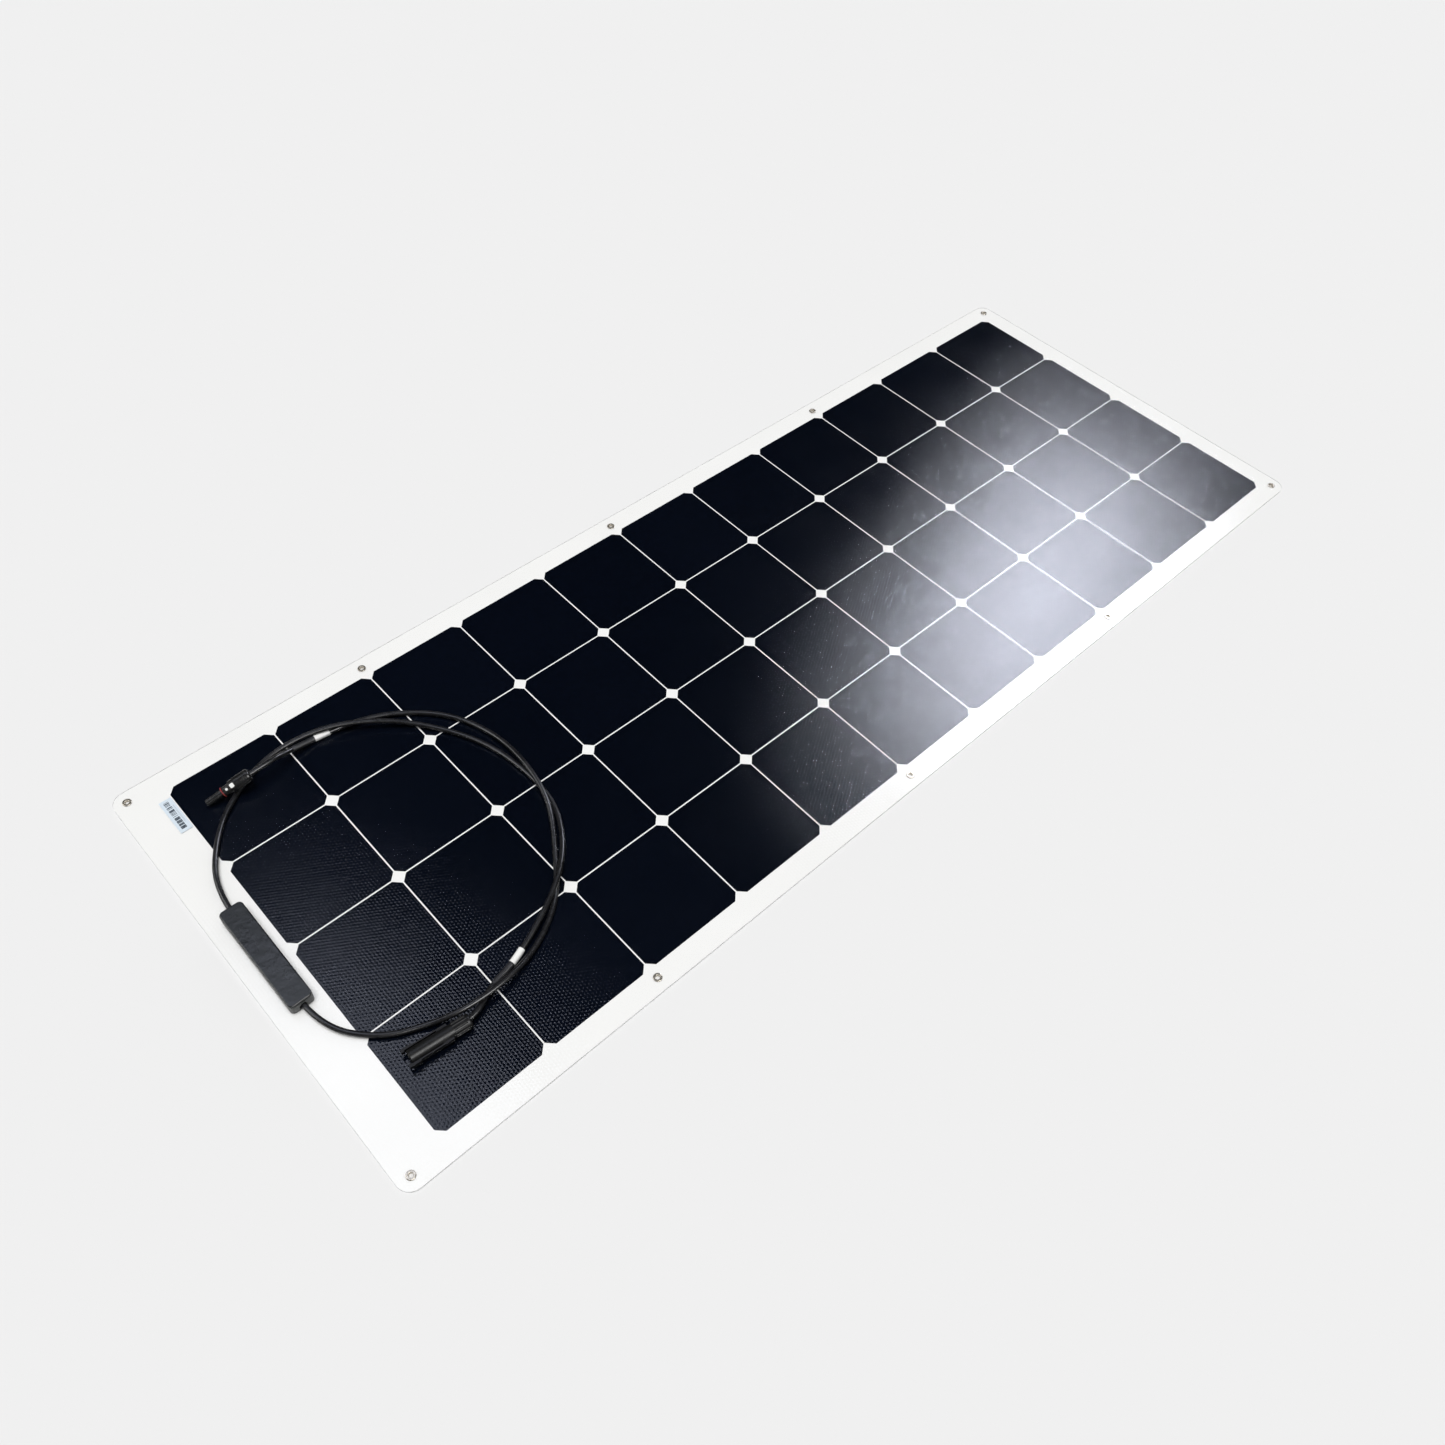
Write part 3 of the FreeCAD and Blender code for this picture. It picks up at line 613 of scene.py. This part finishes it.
def label():
    """A pale sticker with a row of dark bars of uneven width and one faint line of dashes."""
    item, tree, where = blank("label_pale")
    low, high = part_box("serial_label")
    split = node(tree, "ShaderNodeSeparateXYZ", {"Vector": where})
    across = span(tree, split.outputs["X"], 0, 1, (low[0], high[0]))
    along = span(tree, split.outputs["Y"], 0, 1, (low[1], high[1]))
    paper = noise(tree, where, 900, 2)

    def within(ink, area):
        """Ink only inside an area of the label."""
        for value, (start, end) in zip((along, across), area):
            above = arithmetic(tree, "GREATER_THAN", value, start)
            ink = times(tree, ink, times(tree, above, arithmetic(tree, "LESS_THAN", value, end)))
        return ink

    place = arithmetic(tree, "FLOOR", times(tree, along, LABEL_STEPS))
    steps = node(tree, "ShaderNodeCombineXYZ", {"X": place}).outputs["Vector"]
    draw = node(tree, "ShaderNodeTexWhiteNoise", {"Vector": steps}, noise_dimensions="3D").outputs["Value"]
    bars = within(arithmetic(tree, "GREATER_THAN", draw, 0.35), LABEL_BARS)
    swing = arithmetic(tree, "SINE", times(tree, along, DASH_RATE))
    dashes = within(arithmetic(tree, "GREATER_THAN", swing, -0.2), LABEL_DASHES)
    ink = plus(tree, bars, times(tree, dashes, DASH_INK))
    ink = times(tree, ink, span(tree, paper, 0.7, 1.0, (0.3, 0.6)))
    principled(
        tree,
        Base_Color=ramp(tree, ink, (0.0, (0.60, 0.68, 0.75)), (1.0, (0.02, 0.03, 0.045))),
        Roughness=span(tree, paper, 0.35, 0.5),
    )
    return item


materials = {
    "encapsulant_white": encapsulant(),
    "cell_silicon": cell_silicon(),
    "label_pale": label(),
    "box_black": box_shell("box_black", (0.011, 0.0125, 0.0135), rough=0.27),
}
for name, look in {
    "backsheet_white": dict(colour=(0.80, 0.80, 0.79), rough=0.55, spread=0.02, patch=12, grain=700),
    "tinned_copper": dict(colour=(0.70, 0.69, 0.67), rough=0.35, spread=0.08, patch=200, grain=2500,
                          relief=0.00001, metallic=1.0),
    "eyelet_nickel": dict(colour=(0.48, 0.44, 0.37), rough=0.26, patch=300, grain=2500, relief=0.00001,
                          metallic=0.8),
    "pad_foam": dict(colour=(0.03, 0.03, 0.03), rough=0.9, spread=0.2, patch=300, grain=2000,
                     relief=0.0001),
    "potting_grey": dict(colour=(0.10, 0.10, 0.10), rough=0.6, spread=0.1, patch=80, grain=900),
    "diode_epoxy": dict(colour=(0.02, 0.02, 0.02), rough=0.6, spread=0.1, patch=200),
    "cable_black": dict(colour=(0.009, 0.009, 0.010), rough=0.29, spread=0.15, patch=70, grain=1800,
                        relief=0.00003),
    "seal_rubber": dict(colour=(0.02, 0.02, 0.02), rough=0.7, spread=0.15, patch=200),
    "marker_white": dict(colour=(0.80, 0.80, 0.78), rough=0.45, spread=0.03, patch=150, grain=1800),
    "shrink_black": dict(colour=(0.018, 0.018, 0.020), rough=0.42, spread=0.15, patch=180, grain=1400,
                         relief=0.00006),
    "connector_black": dict(colour=(0.006, 0.006, 0.006), rough=0.38, spread=0.15, patch=120, grain=2600,
                            relief=0.00003, specular=0.3),
    "cage_black": dict(colour=(0.03, 0.03, 0.03), rough=0.5, spread=0.1, patch=200),
    "o_ring_red": dict(colour=(0.22, 0.010, 0.010), rough=0.4, patch=300, grain=2500),
    "contact_tin": dict(colour=(0.72, 0.71, 0.68), rough=0.25, spread=0.08, patch=300, grain=2500,
                        relief=0.00001, metallic=1.0),
}.items():
    materials[name] = surface(name, **look)


def dress(item, *finishes):
    """Gives a piece its materials through its slots."""
    while len(item.material_slots) < len(finishes):
        item.data.materials.append(None)
    for slot, finish in zip(item.material_slots, finishes):
        slot.link = "OBJECT"
        slot.material = finish


for part in frame["record"]["subparts"]:
    if part["material_slot"] in materials:
        dress(nodes[part["node"]], materials[part["material_slot"]])
# The base gets a lighter black than the lid, though both are the same plastic: painted light on the base's
# walls.
dress(nodes["junction_box_base"], box_shell("box_side_painted_light", (0.045, 0.048, 0.048), rough=0.40))
glossy_black = surface("connector_gloss", (0.008, 0.008, 0.008), rough=0.25, spread=0.15, patch=120,
                       grain=2600, relief=0.00003)
for name in ("plug_gland_nut", "plug_housing"):
    dress(nodes[name], glossy_black)
for cable, marker, shrink in leads.values():
    dress(cable, materials["cable_black"])
    dress(marker, materials["marker_white"])
    dress(shrink, materials["shrink_black"])
for mark in marks:
    dress(mark, materials["marker_white"])
# The film's edge faces get an opaque mid grey: painted shade, standing in for the shaded side face of the
# sheet.
film_edge_painted_shade = surface("film_edge_painted_shade", (0.55, 0.56, 0.55), rough=0.4, spread=0.05, grain=900)
dress(clear_film, film_top(), film_edge_painted_shade, film_underside())

# Floor and light ------------------------------------------------------------------

FLOOR_HALF = 20
FLOOR_DROP = -0.0002
ROOM_LIGHT = 0.40
BACKDROP = 0.872


def floor():
    """One pale sheet under everything, far wider than the view."""
    mesh = bmesh.new()
    bmesh.ops.create_grid(mesh, x_segments=1, y_segments=1, size=FLOOR_HALF)
    bmesh.ops.translate(mesh, verts=mesh.verts, vec=(0, 0, FLOOR_DROP))
    item = finish_mesh("floor", mesh)
    item.data.materials.append(surface("floor_white", (0.745, 0.745, 0.745), rough=0.9, spread=0.0, patch=5,
                                       grain=50, relief=0.0, specular=0.0))


def softbox(name, towards, distance, size, radiance, colour, aim, roll=0):
    """A softbox for gloss only. towards is its azimuth and elevation from aim, in degrees."""
    azimuth, elevation = (math.radians(angle) for angle in towards)
    level = math.cos(elevation) * distance
    offset = Vector((math.cos(azimuth) * level, math.sin(azimuth) * level, math.sin(elevation) * distance))
    data = bpy.data.lights.new(name, "AREA")
    data.shape = "RECTANGLE"
    data.size, data.size_y = size
    data.energy = radiance * math.pi * size[0] * size[1]
    data.color = colour
    item = bpy.data.objects.new(name, data)
    item.location = Vector(aim) + offset
    facing = offset.to_track_quat("Z", "Y").to_matrix()
    item.rotation_euler = (facing @ Matrix.Rotation(math.radians(roll), 3, "Z")).to_euler()
    item.visible_diffuse = False
    scene.collection.objects.link(item)


def key_light(azimuth, elevation, spread, strength):
    """A broad soft light from one side, for diffuse surfaces only. Angles in degrees."""
    data = bpy.data.lights.new("key_light", "SUN")
    data.energy = strength
    data.angle = math.radians(spread)
    item = bpy.data.objects.new("key_light", data)
    item.rotation_euler = (0, math.radians(90 - elevation), math.radians(azimuth))
    item.visible_glossy = False
    scene.collection.objects.link(item)


def even_light():
    """White light from all round for diffuse surfaces. Gloss shows the softboxes instead."""
    world = bpy.data.worlds.new("studio")
    scene.world = world
    world.use_nodes = True
    world.cycles_visibility.glossy = False
    tree = world.node_tree
    tree.nodes.clear()
    light = node(tree, "ShaderNodeBackground", {"Color": (1, 1, 1, 1), "Strength": ROOM_LIGHT})
    backdrop = node(tree, "ShaderNodeBackground", {"Color": (1, 1, 1, 1), "Strength": BACKDROP})
    seen = node(tree, "ShaderNodeLightPath").outputs["Is Camera Ray"]
    shown = mix(tree, seen, light.outputs["Background"], backdrop.outputs["Background"])
    node(tree, "ShaderNodeOutputWorld", {"Surface": shown})


floor()
even_light()
key_light(azimuth=200, elevation=84, spread=36, strength=2.433)
softbox("sheen_softbox", towards=(19.5, 47.7), distance=2.6, size=(0.71, 1.11), radiance=19.7,
        colour=(0.84, 0.87, 1), aim=(0.35, 0, 0), roll=-7)
softbox("top_softbox", towards=(109, 71), distance=2.2, size=(1.2, 1.03), radiance=2.5,
        colour=(0.78, 0.83, 1), aim=(-0.6, -0.05, 0))
softbox("front_softbox", towards=(-86, 42), distance=2.5, size=(2, 1.2), radiance=10,
        colour=(1, 1, 1), aim=(-0.6, 0, 0))
softbox("left_softbox", towards=(142, 36), distance=2.2, size=(1.6, 0.8), radiance=6,
        colour=(1, 1, 1), aim=(-0.6, 0, 0))
